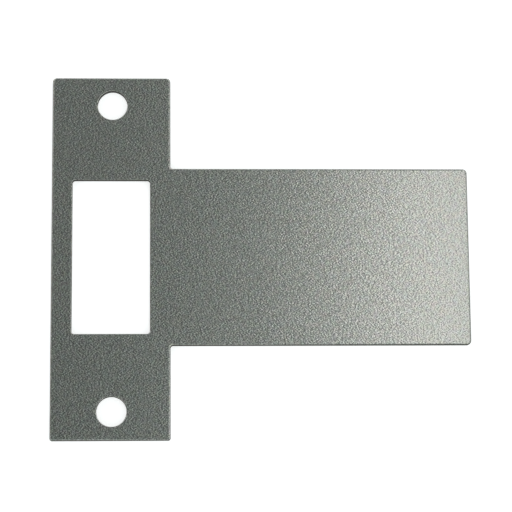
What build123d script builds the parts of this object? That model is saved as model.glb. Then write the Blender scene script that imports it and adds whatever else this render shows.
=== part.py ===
from build123d import *
import os

os.makedirs("parts", exist_ok=True)

# Door strike plate: one flat, T-shaped piece of steel sheet, blanked and punched, with a metallic coating.
# It lies on its back face, at z = 0. The strip that is screwed to the door frame runs along Y, and the lip
# that leads the latch bolt in reaches out along +X. The origin is midway between the two screw holes.

# Sheet
sheet_thickness = 1.5
outline_rounding = 0.3  # rolled edge that blanking leaves round the face, softened by the coating
opening_rounding = 0.15  # the same round the opening and the holes, which a closer punch shears cleaner
back_rounding = 0.15  # deburred edge on the back

# Opening that the latch bolt enters, centred on the strip
opening_width = 14.8
opening_length = 29.7
opening_corner = 0.55

# Strip that carries the opening and the screws
strip_length = 69.85
side_rail = 3.9  # metal on each side of the opening
outer_corner = 0.75  # at the strip's upper end and at the lip's end
lower_corner = 0.4  # at the strip's lower end, whose corners are nearly square

# Lip, centred on the strip's length
lip_reach = 57.15  # beyond the strip
lip_width = 34.1
notch_corner = 0.5  # inside corner where the lip leaves the strip

# Two screw holes, one near each end of the strip
screw_diameter = 5.5
screw_clearance = 0.1  # all round the screw
screw_end_margin = 5.4  # from the strip's end to the centre of the hole
screw_line_offset = 0.2  # from the strip's centre line to the line of the screws, towards the lip

# Places that follow from those sizes
strip_width = opening_width + 2 * side_rail
strip_centre = -screw_line_offset
lip_length = strip_width / 2 + lip_reach
screw_spacing = strip_length - 2 * screw_end_margin
hole_radius = screw_diameter / 2 + screw_clearance

with BuildPart() as strike_plate:
    # The blank: a T whose lip starts at the strip's centre line, so that the two overlap
    with BuildSketch() as blank:
        with Locations((strip_centre, 0)):
            Rectangle(strip_width, strip_length)
            Rectangle(lip_length, lip_width, align=(Align.MIN, Align.CENTER))

        # The strip's inner edge holds four corners, and the middle two are the notches
        inner_edge = blank.vertices().group_by(Axis.X)[1]
        fillet(inner_edge.sort_by(Axis.Y)[1:-1], notch_corner)

        upper_end = blank.vertices().group_by(Axis.Y)[-1]
        lip_end = blank.vertices().group_by(Axis.X)[-1]
        fillet(upper_end + lip_end, outer_corner)
        fillet(blank.vertices().group_by(Axis.Y)[0], lower_corner)

        with Locations((strip_centre, 0)):
            RectangleRounded(opening_width, opening_length, opening_corner, mode=Mode.SUBTRACT)
    extrude(amount=sheet_thickness)

    with GridLocations(0, screw_spacing, 1, 2):
        Hole(hole_radius)

    # Every rim is rounded: on the face the outline, then the opening and the holes, then all of the back
    fillet(strike_plate.faces().sort_by(Axis.Z)[-1].outer_wire().edges(), outline_rounding)
    fillet(strike_plate.faces().sort_by(Axis.Z)[-1].inner_wires().edges(), opening_rounding)
    fillet(strike_plate.faces().sort_by(Axis.Z)[0].edges(), back_rounding)

strike_plate.part.label = "strike_plate"
export_step(strike_plate.part, "parts/strike_plate.step")
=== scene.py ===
import math

import bpy
import numpy as np
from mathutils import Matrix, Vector

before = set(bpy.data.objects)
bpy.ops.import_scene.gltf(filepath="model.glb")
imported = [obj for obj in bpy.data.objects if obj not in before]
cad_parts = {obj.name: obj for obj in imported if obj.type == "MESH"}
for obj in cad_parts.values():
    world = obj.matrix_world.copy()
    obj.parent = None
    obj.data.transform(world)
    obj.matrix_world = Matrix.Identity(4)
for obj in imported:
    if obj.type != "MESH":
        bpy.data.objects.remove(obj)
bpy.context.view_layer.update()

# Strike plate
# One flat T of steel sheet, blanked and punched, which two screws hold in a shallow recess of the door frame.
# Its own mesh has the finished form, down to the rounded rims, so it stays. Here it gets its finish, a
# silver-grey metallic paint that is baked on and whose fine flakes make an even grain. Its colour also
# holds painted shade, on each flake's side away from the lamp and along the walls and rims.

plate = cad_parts["strike_plate"]

coat_colour = (0.567, 0.548, 0.512)
coat_roughness = 0.235
grazing_tint = (0.4, 0.4, 0.4, 1)  # paint mirrors less at a grazing angle than polished metal does

flake_size = 0.00022  # across one flake, in metres
flake_turn = (0, 0, math.radians(45))  # so that no row of flakes runs along an edge of the plate
flake_step = (0.00024, 0.00018, 0)  # in the turned axes, to the next flake towards the end of the lip, where the lamp is
flake_painted_lee_share = 0.3  # share of the next flake's lightness and slope that a flake loses; the lightness part is painted shade
flake_shade = 1.5  # range of lightness from the darkest flake to the palest, as a share of the coat's own
flake_lean = 0.09  # range of slopes at which the flakes lie
flake_metal = 0.93  # share of the coat's light that an average flake returns as bare metal does
flake_cover = 0.33  # how far that share falls from the darkest flake to the palest

cloud_size = 0.001  # across the faint clouds of warmer and cooler paint, in metres
cloud_tint = 0.11  # range of their tints, as a share of the coat's colour

wall_start = 0.97  # how far up a face looks where the sheared wall begins
wall_full = 0.6  # how far up it looks where the wall is full
wall_painted_shade = 0.7  # how much darker the base colour is on the walls and rims: painted shade for the dark lines along the edges
wall_roughness = 0.75  # how much rougher

average = (0.5, 0.5, 0.5)  # of the three values of noise
untinted = (1, 1, 1)


class Socket:
    """An output of a shader node. Arithmetic with it adds the Math nodes that work the result out."""

    def __init__(self, tree, output=None):
        self.tree = tree
        self.output = output

    def node(self, kind, settings=None, take=0, **inputs):
        """Adds a node, sets its settings, sets or links its inputs, and gives the outputs that are taken.

        An input is named as its socket is, with _ for a space, or i0, i1 and so on for its place.
        """
        added = self.tree.nodes.new(kind)
        for name, value in (settings or {}).items():
            setattr(added, name, value)
        for name, value in inputs.items():
            place = int(name[1:]) if name[1:].isdigit() else name.replace("_", " ")
            if isinstance(value, Socket):
                self.tree.links.new(value.output, added.inputs[place])
            else:
                added.inputs[place].default_value = value
        if isinstance(take, tuple):
            return [Socket(self.tree, added.outputs[name]) for name in take]
        return Socket(self.tree, added.outputs[take] if added.outputs else None)

    def maths(self, operation, first, second):
        return self.node("ShaderNodeMath", {"operation": operation}, i0=first, i1=second)

    def vector(self, operation, **inputs):
        return self.node("ShaderNodeVectorMath", {"operation": operation}, i0=self, **inputs)

    def __add__(self, other):
        return self.maths("ADD", self, other)

    def __sub__(self, other):
        return self.maths("SUBTRACT", self, other)

    def __rsub__(self, other):
        return self.maths("SUBTRACT", other, self)

    def __mul__(self, other):
        return self.maths("MULTIPLY", self, other)

    def __truediv__(self, other):
        return self.maths("DIVIDE", self, other)

    def __pow__(self, other):
        return self.maths("POWER", self, other)

    __radd__ = __add__
    __rmul__ = __mul__


def empty_tree(owner):
    """Clears the nodes of a material or a world, and gives the start from which new ones are added."""
    owner.use_nodes = True
    owner.node_tree.nodes.clear()
    return Socket(owner.node_tree)


coating = bpy.data.materials.new("silver_grey_coating")
start = empty_tree(coating)
place, facing = start.node("ShaderNodeTexCoord", take=("Object", "Normal"))


def lumps(size, where):
    """Three values of smooth noise that go up and down about once in this size, less what they average."""
    noise = start.node("ShaderNodeTexNoise", take="Color", Scale=1 / size, Detail=0, Vector=where)
    return noise.vector("SUBTRACT", i1=average)


# A flake is one lump less a share of the next, so that its side away from the end of the lip is darker:
# painted shade, as if each lump were lit by the lamp beyond the end of the lip. Its first value shades it,
# and all three lean it
here = start.node("ShaderNodeMapping", Vector=place, Rotation=flake_turn)
beside = start.node("ShaderNodeMapping", Vector=place, Rotation=flake_turn, Location=flake_step)
painted_lee_shade_and_slope = lumps(flake_size, beside).vector("SCALE", Scale=flake_painted_lee_share)
flakes_and_painted_lee = lumps(flake_size, here).vector("SUBTRACT", i1=painted_lee_shade_and_slope)
flake_and_painted_lee = start.node("ShaderNodeSeparateXYZ", take="X", Vector=flakes_and_painted_lee)
tint = lumps(cloud_size, place).vector("SCALE", Scale=cloud_tint).vector("ADD", i1=untinted)

wall = start.node(
    "ShaderNodeMapRange", {"interpolation_type": "SMOOTHSTEP"}, From_Min=wall_start, From_Max=wall_full,
    Value=start.node("ShaderNodeSeparateXYZ", take="Z", Vector=facing),
)
# Lightness of the paint: flake grain, with painted shade on each flake's side away from the lamp and on the
# walls and rims
shade = (1 + flake_and_painted_lee * flake_shade) * (1 - wall * wall_painted_shade)
level_normal = start.node("ShaderNodeNewGeometry", take="Normal")
paint = start.node(
    "ShaderNodeBsdfPrincipled",
    Base_Color=tint.vector("MULTIPLY", i1=coat_colour).vector("SCALE", Scale=shade),
    Metallic=flake_metal - flake_and_painted_lee * flake_cover,
    Roughness=coat_roughness + wall * wall_roughness,
    Normal=level_normal.vector("ADD", i1=flakes_and_painted_lee.vector("SCALE", Scale=flake_lean)).vector("NORMALIZE"),
    Specular_Tint=grazing_tint,
)
start.node("ShaderNodeOutputMaterial", Surface=paint)
for slot in plate.material_slots:
    slot.material = coating

# Floor
# A plain white table top, on which the plate lies. The camera and the plate's reflections see it glow a
# little, so that it is as white as paper and keeps only a faint shadow close to the plate.

floor_half = 2  # from its middle to its edges, in metres
floor_colour = (0.8, 0.8, 0.8, 1)
seen_glow = 0.7  # where 1 is white
mirrored_glow = 0.45

across, along = np.meshgrid((-floor_half, floor_half), (-floor_half, floor_half))
corners = np.stack((across, along, np.zeros_like(across)), axis=-1).reshape(-1, 3)
floor_mesh = bpy.data.meshes.new("floor")
floor_mesh.from_pydata(corners.tolist(), [], [(0, 1, 3, 2)])
floor = bpy.data.objects.new("floor", floor_mesh)
bpy.context.scene.collection.objects.link(floor)

white_top = bpy.data.materials.new("white_table_top")
start = empty_tree(white_top)
seen, mirrored = start.node("ShaderNodeLightPath", take=("Is Camera Ray", "Is Glossy Ray"))
glow = seen * seen_glow + mirrored * mirrored_glow
paint = start.node(
    "ShaderNodeBsdfPrincipled",
    Base_Color=floor_colour,
    Roughness=1,
    Specular_IOR_Level=0,
    Emission_Color=start.node("ShaderNodeCombineColor", i0=glow, i1=glow, i2=glow),
    Emission_Strength=1,
)
start.node("ShaderNodeOutputMaterial", Surface=paint)
floor_mesh.materials.append(white_top)

# Room
# A studio with white walls and a dim ceiling, which is lighter towards -Y, towards +X and low down. Its four
# corners are softly lit, where no straight rim of the plate mirrors them.

ceiling_tint = (0.79, 1, 0.965)
ceiling_level = 0.163  # straight up
near_gain = 0.2  # how fast it grows from there towards -Y; towards +Y it sinks, and grows again near the wall
side_gain = 1.05  # how fast it grows from there towards +X
side_power = 4  # how close to the top that growth stays
least_level = 0.05  # what the ceiling never falls below straight up
least_gain = 0.3  # how much higher that is low down
corner_gain = 6  # four times the light that a corner adds low down
trace = 0.0001  # added to what is zero straight up, so that the corners' light can be divided by it
room_wall = (1, 1, 1)
room_wall_power = 7  # how low down the walls stay

room = bpy.data.worlds.new("room")
start = empty_tree(room)
east, north, up = start.node(
    "ShaderNodeSeparateXYZ", take=("X", "Y", "Z"), Vector=start.node("ShaderNodeTexCoord", take="Generated"),
)
level = ceiling_level + side_gain * east * up ** side_power - near_gain * north * (1 - north)
low = 1 - up * up
ceiling = start.node(
    "ShaderNodeVectorMath", {"operation": "SCALE"},
    i0=ceiling_tint, Scale=start.maths("MAXIMUM", level, least_level + least_gain * low),
)
corner = corner_gain * (east * north) ** 2 / (low + trace)
seen = start.node("ShaderNodeLightPath", take="Is Camera Ray")
light = start.node(
    "ShaderNodeMix", {"data_type": "VECTOR"}, take=1,
    Factor=low ** room_wall_power + seen, i4=ceiling.vector("ADD", i1=corner), i5=room_wall,
)
start.node("ShaderNodeOutputWorld", Surface=start.node("ShaderNodeBackground", Color=light, Strength=1))
bpy.context.scene.world = room

# Lamp
# A narrow soft box, whose white cloth glows evenly. It hangs high up beyond the end of the lip, faces the
# plate and lights that end up.

lamp_place = Vector((0.1575, 0, 0.6))
plate_middle = Vector((0.03, 0, 0.0015))
lamp_size = (0.44, 0.062)  # along the end of the lip, and across
lamp_radiance = 1.67

lamp = bpy.data.lights.new("soft_box", "AREA")
lamp.shape = "RECTANGLE"
lamp.size, lamp.size_y = lamp_size
lamp.energy = lamp_radiance * math.pi * lamp.size * lamp.size_y  # what a sheet of that radiance gives off
soft_box = bpy.data.objects.new("soft_box", lamp)
soft_box.location = lamp_place
soft_box.rotation_euler = (lamp_place - plate_middle).to_track_quat("Z", "Y").to_euler()
bpy.context.scene.collection.objects.link(soft_box)

# Camera
# It looks down on the plate through a long lens, a little from the near end of the strip, so that a thin line
# of wall shows along the near edges.

view_place = (0.01028, -0.06325, 0.36146)
view_tilt = (9.973, -2.68, -0.031)  # degrees about X, Y and Z
view_lens = 135  # millimetres, on a sensor 36 mm wide

camera = bpy.data.cameras.new("camera")
camera.lens = view_lens
viewer = bpy.data.objects.new("camera", camera)
viewer.rotation_mode = "ZYX"
viewer.location = view_place
viewer.rotation_euler = [math.radians(angle) for angle in view_tilt]
bpy.context.scene.collection.objects.link(viewer)
bpy.context.scene.camera = viewer
bpy.context.scene.view_settings.view_transform = "Standard"
